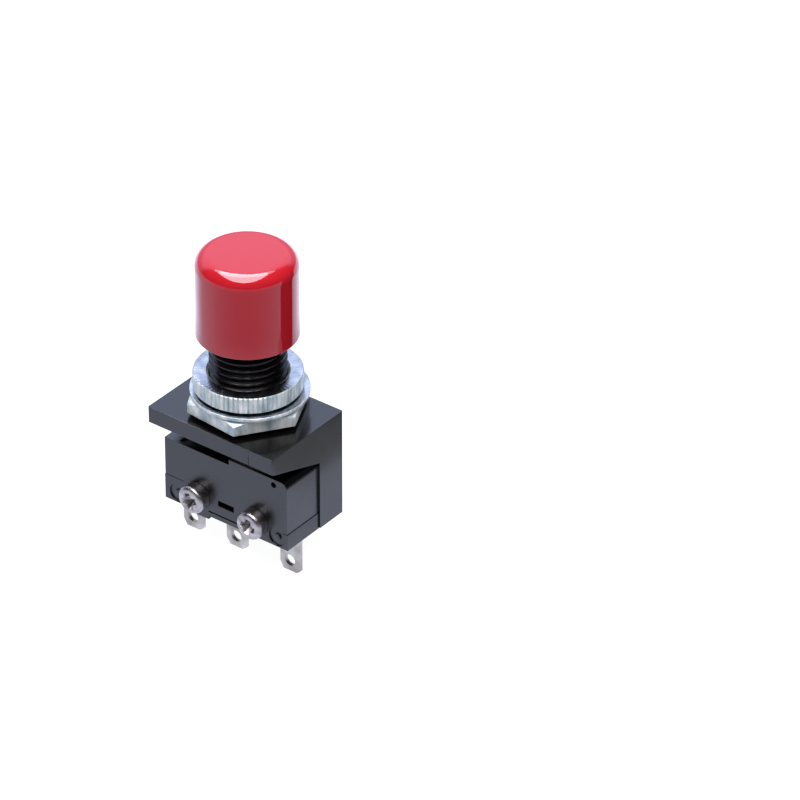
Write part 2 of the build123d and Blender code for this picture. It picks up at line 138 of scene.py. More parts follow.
def newMaterial(name):
    material = bpy.data.materials.new(name)
    material.use_nodes = True
    material.node_tree.nodes.clear()
    return material, material.node_tree


def closeMaterial(tree, shader):
    addNode(tree, "ShaderNodeOutputMaterial", {}, {"Surface": shader.outputs[0]})


# Moulded plastics: holder, switch case, push rod and plunger

def mouldedPlastic(name, look):
    material, tree = newMaterial(name)
    place = addNode(tree, "ShaderNodeTexCoord").outputs["Object"]
    # faint cloudy patches a few mm wide
    clouds = addNode(tree, "ShaderNodeTexNoise", {"Scale": perLength(look["cloudSize"]), "Detail": 3.0,
                                                  "Roughness": 0.55}, {"Vector": place})
    # fine spark-eroded grain of the mould
    grain = addNode(tree, "ShaderNodeTexNoise", {"Scale": perLength(look["grainSize"]), "Detail": 2.0,
                                                 "Roughness": 0.6}, {"Vector": place})
    colour = addNode(tree, "ShaderNodeMix", {"data_type": "RGBA", 6: hexColour(look["colour"]),
                                             7: hexColour(look["paleColour"])}, {0: clouds.outputs["Fac"]})
    gloss = addNode(tree, "ShaderNodeMapRange", {"From Min": 0.3, "From Max": 0.7,
                                                 "To Min": look["roughness"] - look["roughnessSpread"],
                                                 "To Max": look["roughness"] + look["roughnessSpread"]},
                    {"Value": clouds.outputs["Fac"]})
    relief = addNode(tree, "ShaderNodeBump", {"Strength": look["grainStrength"],
                                              "Distance": look["grainDepth"] * mm},
                     {"Height": grain.outputs["Fac"]})
    shader = addNode(tree, "ShaderNodeBsdfPrincipled", {"IOR": look["ior"]}, {
        "Base Color": colour.outputs[2], "Roughness": gloss.outputs[0], "Normal": relief.outputs[0]})
    closeMaterial(tree, shader)
    return material


# Black PBT, injection moulded: near black in itself, and its smooth skin mirrors pale surroundings.
# The IOR is set above the plastic's own, for a stronger gloss
pbtBlack = mouldedPlastic("black PBT, satin moulded", {
    "colour": "#080706", "paleColour": "#0B0B0A", "cloudSize": 4.0, "grainSize": 0.09,
    "grainDepth": 0.003, "grainStrength": 0.3, "roughness": 0.18, "roughnessSpread": 0.03,
    "ior": 1.62})

# The same plastic on the thread, duller and darker, with an IOR below the plastic's own: its weaker gloss is
# painted shade for the cap's shade over the thread
pbtThread = mouldedPlastic("black PBT, moulded thread, gloss dimmed as painted shade", {
    "colour": "#080706", "paleColour": "#0B0B0A", "cloudSize": 4.0, "grainSize": 0.09,
    "grainDepth": 0.003, "grainStrength": 0.3, "roughness": 0.24, "roughnessSpread": 0.03,
    "ior": 1.38})

# Black thermoset of the switch case: the same black under a softer, greyer gloss
phenolicBlack = mouldedPlastic("black phenolic, compression moulded", {
    "colour": "#0A0A0C", "paleColour": "#0E0F11", "cloudSize": 3.0, "grainSize": 0.07,
    "grainDepth": 0.003, "grainStrength": 0.3, "roughness": 0.29, "roughnessSpread": 0.03,
    "ior": 1.64})

# Acetal, natural: milky white and waxy
acetalWhite = mouldedPlastic("natural acetal, moulded", {
    "colour": "#DDDCD4", "paleColour": "#E6E5DE", "cloudSize": 2.5, "grainSize": 0.06,
    "grainDepth": 0.002, "grainStrength": 0.25, "roughness": 0.38, "roughnessSpread": 0.05,
    "ior": 1.48})

# Brown-red PBT of the switch's own plunger: a small dull moulding
pbtRust = mouldedPlastic("rust PBT, moulded", {
    "colour": "#7A2A1E", "paleColour": "#853226", "cloudSize": 1.5, "grainSize": 0.06,
    "grainDepth": 0.002, "grainStrength": 0.25, "roughness": 0.42, "roughnessSpread": 0.04,
    "ior": 1.56})


# Red ABS, moulded in a polished tool: bright even red under a mirror gloss with a faint orange peel

absLook = {
    "colour": "#C1212E",
    "deepColour": "#BB1E2B",
    "cloudSize": 6.0,
    "peelSize": 1.6,
    "peelDepth": 0.0012,
    "roughness": 0.06,
    "ior": 1.54,
}


def glossAbs(name, look):
    material, tree = newMaterial(name)
    place = addNode(tree, "ShaderNodeTexCoord").outputs["Object"]
    clouds = addNode(tree, "ShaderNodeTexNoise", {"Scale": perLength(look["cloudSize"]), "Detail": 2.0},
                     {"Vector": place})
    colour = addNode(tree, "ShaderNodeMix", {"data_type": "RGBA", 6: hexColour(look["deepColour"]),
                                             7: hexColour(look["colour"])}, {0: clouds.outputs["Fac"]})
    peel = addNode(tree, "ShaderNodeTexNoise", {"Scale": perLength(look["peelSize"]), "Detail": 1.0},
                   {"Vector": place})
    relief = addNode(tree, "ShaderNodeBump", {"Strength": 0.5, "Distance": look["peelDepth"] * mm},
                     {"Height": peel.outputs["Fac"]})
    shader = addNode(tree, "ShaderNodeBsdfPrincipled", {
        "Roughness": look["roughness"], "IOR": look["ior"]},
        {"Base Color": colour.outputs[2], "Normal": relief.outputs[0]})
    closeMaterial(tree, shader)
    return material


absRed = glossAbs("red ABS, gloss moulded", absLook)


# Plated and bare metals; a stretch under 1 draws a pattern out along that axis

even = (1.0, 1.0, 1.0)


def platedMetal(name, look):
    material, tree = newMaterial(name)
    place = addNode(tree, "ShaderNodeTexCoord").outputs["Object"]
    drawn = addNode(tree, "ShaderNodeVectorMath", {"operation": "MULTIPLY", 1: look["blotchStretch"]},
                    {0: place})
    clouds = addNode(tree, "ShaderNodeTexNoise", {"Scale": perLength(look["blotchSize"]), "Detail": 4.0,
                                                  "Roughness": 0.6}, {"Vector": drawn.outputs[0]})
    blotches = addNode(tree, "ShaderNodeMapRange", {"From Min": 0.36, "From Max": 0.64},
                       {"Value": clouds.outputs["Fac"]})
    stretched = addNode(tree, "ShaderNodeVectorMath", {"operation": "MULTIPLY", 1: look["lineStretch"]},
                        {0: place})
    lines = addNode(tree, "ShaderNodeTexNoise", {"Scale": perLength(look["lineSize"]), "Detail": 3.0,
                                                 "Roughness": 0.65}, {"Vector": stretched.outputs[0]})
    colour = addNode(tree, "ShaderNodeMix", {"data_type": "RGBA", 6: hexColour(look["darkColour"]),
                                             7: hexColour(look["colour"])}, {0: blotches.outputs[0]})
    wear = addNode(tree, "ShaderNodeMath", {"operation": "ADD"},
                   {0: clouds.outputs["Fac"], 1: lines.outputs["Fac"]})
    gloss = addNode(tree, "ShaderNodeMapRange", {"From Min": 0.7, "From Max": 1.3,
                                                 "To Min": look["roughness"] - look["roughnessSpread"],
                                                 "To Max": look["roughness"] + look["roughnessSpread"]},
                    {"Value": wear.outputs[0]})
    relief = addNode(tree, "ShaderNodeBump", {"Strength": look["lineStrength"],
                                              "Distance": look["lineDepth"] * mm},
                     {"Height": lines.outputs["Fac"]})
    if look.get("turnedPitch"):    # the lathe tool leaves fine rings on faces square to the axis
        # a wave texture repeats 20 times as often as its scale says
        rings = addNode(tree, "ShaderNodeTexWave", {"wave_type": "RINGS", "rings_direction": "Z",
                                                    "Scale": perLength(look["turnedPitch"]) / 20,
                                                    "Distortion": 0.6, "Detail": 1.0}, {"Vector": place})
        relief = addNode(tree, "ShaderNodeBump", {"Strength": look["turnedStrength"],
                                                  "Distance": look["turnedDepth"] * mm},
                         {"Height": rings.outputs["Fac"], "Normal": relief.outputs[0]})
    bareMetal = look.get("metallic", 1.0)    # under 1 is not what a metal has
    shader = addNode(tree, "ShaderNodeBsdfPrincipled", {"Metallic": bareMetal}, {
        "Base Color": colour.outputs[2], "Roughness": gloss.outputs[0], "Normal": relief.outputs[0]})
    closeMaterial(tree, shader)
    return material


# Zinc plate with a clear-blue passivation on turned steel: a cold, slightly cloudy mirror
zincPlate = platedMetal("blue zinc plate on turned steel", {
    "colour": "#C4C8CC", "darkColour": "#9FA5AB", "blotchSize": 1.8,
    "blotchStretch": even, "lineSize": 0.3,
    "lineStretch": (1.0, 1.0, 0.3), "lineDepth": 0.003, "lineStrength": 0.4,
    "roughness": 0.22, "roughnessSpread": 0.06,
    "turnedPitch": 0.16, "turnedDepth": 0.001, "turnedStrength": 0.3})

# The same plate on the walls along the axis: paler, as painted light for the brightness the walls catch,
# streaked and barely metallic
zincPaintedPale = platedMetal("blue zinc plate, walls paled as painted light", {
    "colour": "#FAFDFF", "darkColour": "#A6BCC6", "blotchSize": 1.5,
    "blotchStretch": (1.0, 1.0, 0.3), "lineSize": 0.35,
    "lineStretch": (1.0, 1.0, 0.12), "lineDepth": 0.012, "lineStrength": 0.5,
    "roughness": 0.34, "roughnessSpread": 0.06, "metallic": 0.25})

# Nickel plate on steel screws: bright, a little warm, and frosted
nickelPlate = platedMetal("nickel plate on steel", {
    "colour": "#C3BDBB", "darkColour": "#938C8A", "blotchSize": 0.9,
    "blotchStretch": even, "lineSize": 0.15,
    "lineStretch": even, "lineDepth": 0.003, "lineStrength": 0.3,
    "roughness": 0.36, "roughnessSpread": 0.06})

# The same plate in the screws' recesses, dull and dark: painted shade in the recess
nickelPaintedShade = platedMetal("nickel plate, painted shade in a recess", {
    "colour": "#4A433D", "darkColour": "#332D29", "blotchSize": 0.5,
    "blotchStretch": even, "lineSize": 0.15,
    "lineStretch": even, "lineDepth": 0.003, "lineStrength": 0.3,
    "roughness": 0.6, "roughnessSpread": 0.05})

# And down the sides of their heads, nearly black: a painted dark reflection and painted shade; any oil there
# is only a guess
nickelPaintedDark = platedMetal("nickel plate, painted dark reflection down a head's side", {
    "colour": "#100E0D", "darkColour": "#0A0908", "blotchSize": 0.7,
    "blotchStretch": even, "lineSize": 0.15,
    "lineStretch": even, "lineDepth": 0.003, "lineStrength": 0.3,
    "roughness": 0.5, "roughnessSpread": 0.05})

# Tin plate on stamped brass: pale and matt, with brownish smudges
tinPlate = platedMetal("tin plate on brass strip", {
    "colour": "#DAD4CC", "darkColour": "#9C9388", "blotchSize": 3.2,
    "blotchStretch": (1.0, 1.0, 0.7), "lineSize": 0.12,
    "lineStretch": (1.0, 1.0, 0.1), "lineDepth": 0.003, "lineStrength": 0.4,
    "roughness": 0.4, "roughnessSpread": 0.08})

# Spring steel wire and strip, bright drawn: grey with fine draw lines
springSteel = platedMetal("bright drawn spring steel", {
    "colour": "#B9B8B8", "darkColour": "#8E8D8E", "blotchSize": 1.2,
    "blotchStretch": even, "lineSize": 0.1,
    "lineStretch": (1.0, 1.0, 0.3), "lineDepth": 0.002, "lineStrength": 0.3,
    "roughness": 0.28, "roughnessSpread": 0.06})

# Beryllium copper strip, rolled: warm orange metal with lines along its length
copperStrip = platedMetal("rolled beryllium copper", {
    "colour": "#D9A070", "darkColour": "#B97C50", "blotchSize": 1.0,
    "blotchStretch": even, "lineSize": 0.1,
    "lineStretch": (0.1, 1.0, 1.0), "lineDepth": 0.002, "lineStrength": 0.3,
    "roughness": 0.3, "roughnessSpread": 0.06})

# Silver alloy contacts, cold headed: white metal, a little tarnished
silverAlloy = platedMetal("headed silver alloy", {
    "colour": "#E4E2DC", "darkColour": "#C2BEB4", "blotchSize": 0.4,
    "blotchStretch": even, "lineSize": 0.1,
    "lineStretch": even, "lineDepth": 0.001, "lineStrength": 0.2,
    "roughness": 0.25, "roughnessSpread": 0.08})

# Turned brass inserts: yellow metal with tool rings
turnedBrass = platedMetal("turned brass", {
    "colour": "#D8B468", "darkColour": "#B58F48", "blotchSize": 0.9,
    "blotchStretch": even, "lineSize": 0.12,
    "lineStretch": (1.0, 0.2, 1.0), "lineDepth": 0.002, "lineStrength": 0.3,
    "roughness": 0.3, "roughnessSpread": 0.06})

finishes = {
    "black_moulding": pbtBlack,
    "case_moulding": phenolicBlack,
    "acetal": acetalWhite,
    "plunger_moulding": pbtRust,
    "red_cap": absRed,
    "zinc_plate": zincPlate,
    "nickel_plate": nickelPlate,
    "tinned_brass": tinPlate,
    "spring_steel": springSteel,
    "spring_copper": copperStrip,
    "contact_silver": silverAlloy,
    "insert_brass": turnedBrass,
}
print("materials made:", len(finishes))


# Small helpers for meshes

def newPiece(name, bm):
    bmesh.ops.recalc_face_normals(bm, faces=bm.faces)
    mesh = bpy.data.meshes.new(name)
    bm.to_mesh(mesh)
    bm.free()
    piece = bpy.data.objects.new(name, mesh)
    bpy.context.scene.collection.objects.link(piece)
    return piece


def shadeSmooth(piece, sharpAngle=35):
    piece.data.shade_smooth()
    piece.data.set_sharp_from_angle(angle=math.radians(sharpAngle))


def applyModifiers(piece):
    bpy.context.view_layer.update()
    made = bpy.data.meshes.new_from_object(piece.evaluated_get(bpy.context.evaluated_depsgraph_get()))
    piece.modifiers.clear()
    old = piece.data
    piece.data = made
    bpy.data.meshes.remove(old)


def cutWith(piece, cutter):
    change = piece.modifiers.new("cut", "BOOLEAN")
    change.operation = "DIFFERENCE"
    change.solver = "EXACT"
    change.object = cutter
    applyModifiers(piece)
    bpy.data.objects.remove(cutter)


def roundEdges(piece, width, segments=3, angle=28):
    rounding = piece.modifiers.new("rounding", "BEVEL")
    rounding.width = width * mm
    rounding.segments = segments
    rounding.limit_method = "ANGLE"
    rounding.angle_limit = math.radians(angle)
    rounding.miter_outer = "MITER_ARC"
    rounding.use_clamp_overlap = True
    applyModifiers(piece)


def evenNormals(piece):
    # flat faces stay flat and the roundings carry the turn between them
    piece.data.shade_smooth()
    weights = piece.modifiers.new("even normals", "WEIGHTED_NORMAL")
    weights.keep_sharp = True
    weights.weight = 80


def copyOf(node, name):
    # the CAD solid as clean faces: split vertices joined, flat faces in one piece again
    bm = bmesh.new()
    bm.from_mesh(nodes[node].data)
    bmesh.ops.remove_doubles(bm, verts=bm.verts, dist=0.0005 * mm)
    bmesh.ops.dissolve_limit(bm, angle_limit=math.radians(0.6), verts=bm.verts, edges=bm.edges)
    return newPiece(name, bm)


def arcCorners(points, step=12):
    # (radius, height, rounding) points of a closed outline, each corner turned on its own rounding
    outline = []
    for i, (r, z, rounding) in enumerate(points):
        here = Vector((r, z))
        if not rounding:
            outline.append(here)
            continue
        before = (Vector(points[i - 1][:2]) - here).normalized()
        after = (Vector(points[(i + 1) % len(points)][:2]) - here).normalized()
        half = before.angle(after) / 2
        centre = here + (before + after).normalized() * rounding / math.sin(half)
        start = here + before * rounding / math.tan(half) - centre
        sweep = math.pi - 2 * half
        side = 1 if before.cross(after) < 0 else -1
        count = max(2, round(math.degrees(sweep) / step))
        for k in range(count + 1):
            turn = Matrix.Rotation(side * sweep * k / count, 2)
            outline.append(centre + turn @ start)
    return outline


def turnedForm(name, outline, steps=96, shape=None):
    # turns a closed (radius, height) outline about Z; shape(angle, radius, height) may vary the radius
    bm = bmesh.new()
    rings = []
    for point in outline:
        if point[0] < 1e-6:
            rings.append([bm.verts.new((0, 0, point[1] * mm))])
            continue
        ring = []
        for k in range(steps):
            angle = 2 * math.pi * k / steps
            radius = shape(angle, point[0], point[1]) if shape else point[0]
            ring.append(bm.verts.new((radius * mm * math.cos(angle), radius * mm * math.sin(angle),
                                      point[1] * mm)))
        rings.append(ring)
    for lower, upper in zip(rings, rings[1:] + rings[:1]):
        if len(lower) == 1 and len(upper) == 1:
            continue
        for k in range(steps):
            n = (k + 1) % steps
            corners = [lower[k % len(lower)], lower[n % len(lower)],
                       upper[n % len(upper)], upper[k % len(upper)]]
            bm.faces.new(list(dict.fromkeys(corners)))
    return newPiece(name, bm)


def boxForm(name, low, high):
    bm = bmesh.new()
    bmesh.ops.create_cube(bm, size=1)
    for vert in bm.verts:
        for axis in range(3):
            vert.co[axis] = (low[axis] if vert.co[axis] < 0 else high[axis]) * mm
    return newPiece(name, bm)


def finish(piece, node):
    # the new piece takes over from its CAD node, rides the same body and wears the same finish
    piece.data.materials.clear()
    piece.data.materials.append(finishes[slotOf[node]])
    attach(piece, bodyOf[node])
    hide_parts(node)


def paleSidesPainted(piece, material):
    # all but the flat ends take the second finish: walls along the axis, and chamfers; on the nuts it is a
    # paler copy, painted light on the walls
    flat = 0.95
    piece.data.materials.append(material)
    for face in piece.data.polygons:
        if abs(face.normal.z) < flat:
            face.material_index = 1


def boxMm(node):
    low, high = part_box(node)
    return [v / mm for v in low], [v / mm for v in high]


holderLow, holderHigh = boxMm("holder")
ringLow, ringHigh = boxMm("ring_nut")
capLow, capHigh = boxMm("button_cap")
caseLow, caseHigh = boxMm("switch_cover")

# Holder: plate, back wall and gussets in one moulding
holderForm = {
    "edge": 0.08,
    "neckFrom": 1.0,               # the threaded neck is its own piece above this height
    "seamX": 6.2,                  # parting line on the plate's front edge
    "seamWidth": 0.09,
    "seamDepth": 0.05,
    "seamRange": (-6.2, -3.0),     # from its lower to its upper end
}


# Threaded end of the holder's neck, M10 x 1: steep V grooves between narrow crests
neckForm = {
    "crestRadius": 4.98,
    "bore": 3.75,
    "pitch": 1.0,
    "depth": 0.56,
    "phase": -0.17,
    "groove": 0.86,                # share of the pitch that the groove takes
    "rootFlat": 0.14,
    "rowsPerTurn": 24,
    "steps": 144,
    "chamfer": 0.5,
    "boreEdge": 0.15,
}


def makeHolder(form):
    holder = copyOf("holder", "holder_moulding")
    reach = neckForm["crestRadius"] + 1
    neck = boxForm("neck", (-reach, -reach, form["neckFrom"]), (reach, reach, holderHigh[2] + 1))
    cutWith(holder, neck)
    roundEdges(holder, form["edge"])
    half = form["seamWidth"] / 2
    low, high = form["seamRange"]
    seam = boxForm("seam", (form["seamX"] - half, holderLow[1] - 1, low),
                   (form["seamX"] + half, holderLow[1] + form["seamDepth"], high))
    cutWith(holder, seam)
    evenNormals(holder)
    finish(holder, "holder")
    print("holder made,", len(holder.data.polygons), "faces")


makeHolder(holderForm)


def threadDip(form, angle, height):
    # depth of the helical groove, nought on the crests
    turn = (height / form["pitch"] - angle / (2 * math.pi) + form["phase"]) % 1
    off = abs(turn - 0.5) * 2      # nought in the middle of the groove
    flank = (form["groove"] - off) / (form["groove"] - form["rootFlat"])
    return form["depth"] * min(1, max(0, flank))


def makeNeck(form):
    start = holderForm["neckFrom"]
    top = holderHigh[2]
    crest = form["crestRadius"]
    rows = round((top - start) / form["pitch"] * form["rowsPerTurn"])
    outline = [Vector((crest, start + (top - start) * k / rows)) for k in range(rows + 1)]
    bore = form["bore"]
    outline += [Vector((bore + form["boreEdge"], top)), Vector((bore, top - form["boreEdge"])),
                Vector((bore, start))]

    def threadAt(angle, radius, height):
        if radius < crest:
            return radius
        ended = crest - max(0, height - top + form["chamfer"])
        return min(ended, crest - threadDip(form, angle, height))

    neck = turnedForm("neck_thread", outline, form["steps"], threadAt)
    shadeSmooth(neck, 30)
    finish(neck, "holder")
    # the thread's own material, its gloss dimmed as painted shade
    neck.data.materials[0] = pbtThread
    print("neck made,", len(neck.data.polygons), "faces")


makeNeck(neckForm)

# Nuts: the hex nut seats on the holder with a washer on it, and the knurled ring nut is above the panel
nutForm = {
    "hexEdge": 0.16,
    "washerEdge": 0.07,
    "knurls": 70,
    "knurlDepth": 0.21,
    "knurlLand": 0.58,             # share of each tooth that stays round
    "stepsPerKnurl": 8,
    "lowChamfer": 0.25,
    "topChamfer": 0.12,
    "bore": 5.04,
    "countersink": 0.3,
    "rounding": 0.05,
}


def makeHexNut(form):
    for node, edge in (("hex_nut", form["hexEdge"]), ("washer", form["washerEdge"])):
        piece = copyOf(node, node + "_plated")
        roundEdges(piece, edge)
        evenNormals(piece)
        finish(piece, node)
        paleSidesPainted(piece, zincPaintedPale)
        print(node, "made,", len(piece.data.polygons), "faces")


def makeRingNut(form):
    outer = ringHigh[0]
    top = ringHigh[2]
    bottom = ringLow[2]
    low = form["lowChamfer"]
    high = form["topChamfer"]
    sink = form["countersink"]
    bore = form["bore"]
    soft = form["rounding"]
    outline = arcCorners([
        (outer - low, bottom, soft), (outer, bottom + low, soft), (outer, top - high, soft),
        (outer - high, top, soft), (bore + sink, top, soft), (bore, top - sink, 0),
        (bore, bottom + sink, 0), (bore + sink, bottom, soft)], 22)

    def toothAt(angle, radius, height):
        place = (angle * form["knurls"] / (2 * math.pi)) % 1
        dip = max(0, abs(2 * place - 1) - form["knurlLand"]) / (1 - form["knurlLand"])
        return min(radius, outer - form["knurlDepth"] * dip)

    nut = turnedForm("ring_nut_knurled", outline, form["knurls"] * form["stepsPerKnurl"], toothAt)
    shadeSmooth(nut, 24)
    finish(nut, "ring_nut")
    paleSidesPainted(nut, zincPaintedPale)
    print("ring nut made,", len(nut.data.polygons), "faces")


makeHexNut(nutForm)
makeRingNut(nutForm)

# Cap: a round moulding with a full rounding at its top edge, open below
capForm = {
    "topRounding": 1.85,
    "rimRounding": 0.18,
    "draft": 0.05,                 # the top is narrower by this much on the radius
    "skirtWall": 1.3,
    "roof": 2.0,
    "boss": 4.3,
    "bossFoot": 9.55,
    "socket": 1.91,
    "socketDepth": 6.01,
    "steps": 192,
}


def makeCap(form):
    radius = capHigh[0]
    top = capHigh[2]
    bottom = capLow[2]
    ceiling = top - form["roof"]
    inner = radius - form["skirtWall"]
    foot = form["bossFoot"]
    rim = form["rimRounding"]
    deep = foot + form["socketDepth"]
    outline = arcCorners([
        (0, top, 0), (radius - form["draft"], top, form["topRounding"]), (radius, bottom, rim),
        (inner, bottom, rim), (inner, ceiling, 0.3), (form["boss"], ceiling, 0.2),
        (form["boss"], foot, 0.12), (form["socket"], foot, 0.1), (form["socket"], deep, 0), (0, deep, 0)], 5)
    cap = turnedForm("button_cap_gloss", outline, form["steps"])
    shadeSmooth(cap, 30)
    finish(cap, "button_cap")
    print("cap made,", len(cap.data.polygons), "faces")


makeCap(capForm)

# Microswitch case: cover and base with eased edges, and a thin open line where they meet
caseForm = {
    "edge": 0.09,
    "joint": 0.1,                  # width of the open line between cover and base
    "jointDepth": 0.14,
    "leftJoint": -15.15,           # heights of the line at the two ends of the case
    "rightJoint": -16.45,
    "jointEnd": 7.0,               # on the front, only further out than this
}


def jointCutters(form):
    left, front = caseLow[0], caseLow[1]
    right, back = caseHigh[0], caseHigh[1]
    half = form["joint"] / 2
    deep = form["jointDepth"]
    end = form["jointEnd"]
    for height, ends, side in (
            (form["leftJoint"], (left - 1, -end), (left - 1, left + deep)),
            (form["rightJoint"], (end, right + 1), (right - deep, right + 1))):
        low, high = height - half, height + half
        yield boxForm("front_joint", (ends[0], front - 1, low), (ends[1], front + deep, high))
        yield boxForm("side_joint", (side[0], front - 1, low), (side[1], back + 1, high))


def makeCase(form):
    for node in ("switch_cover", "switch_base"):
        piece = copyOf(node, node + "_moulding")
        roundEdges(piece, form["edge"], 2)
        for cutter in jointCutters(form):
            cutWith(piece, cutter)
        evenNormals(piece)
        finish(piece, node)
        print(node, "made,", len(piece.data.polygons), "faces")


makeCase(caseForm)

# Solder lugs, stamped: burnished edges, slightly rounded on the die side
lugForm = {
    "edge": 0.06,
}


def makeLugs(form):
    for node in ("com_terminal", "no_terminal", "nc_terminal"):
        lug = copyOf(node, node + "_stamping")
        roundEdges(lug, form["edge"], 2)
        evenNormals(lug)
        finish(lug, node)
    print("lugs made")


makeLugs(lugForm)

# Case screws: pan heads, nearly flat on top, with a cross recess that narrows to its point
screwForm = {
    "headRadius": 1.97,
    "height": 1.92,
    "crown": 0.2,
    "edge": 0.6,
    "shank": 1.15,
    "length": 10.4,
    "pitch": 9.5,
    "steps": 72,
    "recessSpan": 2.45,
    "recessWidth": 0.78,
    "recessDepth": 1.3,
    "recessEdge": 0.05,
    "recessTurns": (17, -9.5),     # degrees, left and right screw
}


def crossCutter(form, top):
    # a cross outline that shrinks with depth, plus a blunt cone between its wings
    levels = [(top + 0.2, 1.0), (top - form["recessDepth"] * 0.55, 0.78), (top - form["recessDepth"], 0.3)]
    bm = bmesh.new()
    rings = []
    for height, share in levels:
        span = form["recessSpan"] / 2 * share
        width = form["recessWidth"] / 2 * (0.55 + 0.45 * share)
        inner = width * 1.35
        corner = [(span, -width), (span, width), (inner, inner)]
        ring = []
        for quarter in range(4):
            turn = Matrix.Rotation(math.pi / 2 * quarter, 2)
            for x, y in corner:
                spot = turn @ Vector((x, y))
                ring.append(bm.verts.new((spot.x * mm, spot.y * mm, height * mm)))
        rings.append(ring)
    count = len(rings[0])
    for lower, upper in zip(rings, rings[1:]):
        for k in range(count):
            bm.faces.new((lower[k], lower[(k + 1) % count], upper[(k + 1) % count], upper[k]))
    bm.faces.new(rings[0])
    bm.faces.new(rings[-1])
    return newPiece("cross", bm)


def paintHeadShade(screw, form):
    # second finish in the recess, painted shade; third down the side of the head, a painted dark reflection
    # and shade
    for material in (nickelPlate, nickelPaintedShade, nickelPaintedDark):
        screw.data.materials.append(material)
    for face in screw.data.polygons:
        height = face.center.z / mm
        inward = face.center.to_2d().length < form["recessSpan"] / 2 * mm
        sunken = face.normal.z < 0.9 or height < form["height"] - 0.3
        if height > 0.15 and inward and sunken:
            face.material_index = 1
        elif height > 0 and abs(face.normal.z) < 0.4:
            face.material_index = 2


def makeScrews(form):
    front = caseLow[1]
    low, high = boxMm("mounting_screws")
    axisZ = (low[2] + high[2]) / 2
    outline = arcCorners([
        (0, form["height"], 0), (form["headRadius"], form["height"] - form["crown"], form["edge"]),
        (form["headRadius"], 0, 0.08), (form["shank"], 0, 0), (form["shank"], -form["length"], 0.25),
        (0, -form["length"], 0)], 7)
    screws = []
    for side, turn in zip((-1, 1), form["recessTurns"]):
        screw = turnedForm("screw", outline, form["steps"])
        cutWith(screw, crossCutter(form, form["height"]))
        roundEdges(screw, form["recessEdge"], 2, 40)
        paintHeadShade(screw, form)
        move = (Matrix.Translation(Vector((side * form["pitch"] / 2, front, axisZ)) * mm)
                @ Matrix.Rotation(math.radians(90), 4, "X") @ Matrix.Rotation(math.radians(turn), 4, "Z"))
        screw.data.transform(move)
        screws.append(screw)
    bm = bmesh.new()
    for screw in screws:
        bm.from_mesh(screw.data)
        bpy.data.objects.remove(screw)
    pair = newPiece("case_screws", bm)
    shadeSmooth(pair, 32)
    finish(pair, "mounting_screws")
    # recess and head-side slots: painted shade and a painted dark reflection
    pair.data.materials.append(nickelPaintedShade)
    pair.data.materials.append(nickelPaintedDark)
    print("screws made,", len(pair.data.polygons), "faces")


makeScrews(screwForm)

# Return spring: drawn wire, its end coils wound close, pressed flat by the cap
springForm = {
    "wire": 0.25,                  # radius
    "coil": 3.2,
    "turns": 7,
    "closedTurns": 0.9,
    "stepsPerTurn": 40,
    "around": 12,
    "closedPitch": 2.1,            # of the wire's radius, where the end coils lie close
    "pressed": 10.05 / 11.05,      # length left when the button is down
    "ledge": -1.5,
}


def makeSpring(form):
    low, high = boxMm("return_spring")
    start = low[2] + form["wire"]
    end = high[2] - form["wire"]
    count = round(form["turns"] * form["stepsPerTurn"])
    closed = form["closedTurns"] / form["turns"]
    lead = form["closedPitch"] * form["wire"] * form["turns"]
    bm = bmesh.new()
    rings = []
    for k in range(count + 1):
        share = k / count
        rise = min(1, max(0, (share - closed) / (1 - 2 * closed)))
        flat = min(share, closed) + max(0, share - 1 + closed)
        height = start + flat * lead + rise * (end - start - 2 * closed * lead)
        angle = 2 * math.pi * form["turns"] * share
        out = Vector((math.cos(angle), math.sin(angle), 0))
        centre = out * form["coil"] + Vector((0, 0, height))
        ring = []
        for j in range(form["around"]):
            tilt = 2 * math.pi * j / form["around"]
            spot = centre + form["wire"] * (math.cos(tilt) * out + math.sin(tilt) * Vector((0, 0, 1)))
            ring.append(bm.verts.new(spot * mm))
        rings.append(ring)
    for lower, upper in zip(rings, rings[1:]):
        for j in range(form["around"]):
            n = (j + 1) % form["around"]
            bm.faces.new((lower[j], lower[n], upper[n], upper[j]))
    bm.faces.new(rings[0])
    bm.faces.new(rings[-1])
    spring = newPiece("return_spring_wire", bm)
    shadeSmooth(spring, 50)
    finish(spring, "return_spring")
    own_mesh(spring)
    print("spring made")


makeSpring(springForm)

# Parts inside the case and the neck keep their CAD shape and get their own finish
for node in ("push_rod", "retaining_clip", "switch_plunger", "contact_arm", "tension_spring",
             "moving_contact", "no_contact", "nc_contact", "threaded_inserts"):
    for slot in nodes[node].material_slots:
        slot.material = finishes[slotOf[node]]
print("inner parts finished")

# Floor and surroundings. What the gloss mirrors is set by direction to suit the main camera,
# so it suits other sides less: from straight above, the softbox washes the flat tops out
studio = {
    "floorSize": 6.0,
    "floorShade": "#898989",       # as the object's underside sees it
    "floorGlow": 0.94,             # keeps the floor white while a soft shadow stays
    "mirroredFloor": "#E1E9FF",    # as the gloss sees it, brighter behind the object than in front
    "mirroredNear": 1.3,           # around the object, then by direction
    "nearEnds": (0.048, 0.06),     # metres from the middle
    "mirroredFront": 0.66,
    "mirroredSide": 1.25,
    "mirroredBack": 1.15,          # on top of the side's
    "plainSky": "#F4F6FA",
    "plainSkyStrength": 0.35,
    "darkRoom": "#151514",         # unlit room behind the camera, seen only in the gloss
    "backSky": "#CEDCFF",
    "backSkyStrength": 1.75,
    "backTurned": 8,               # degrees, the bright side sits a little to the left
}
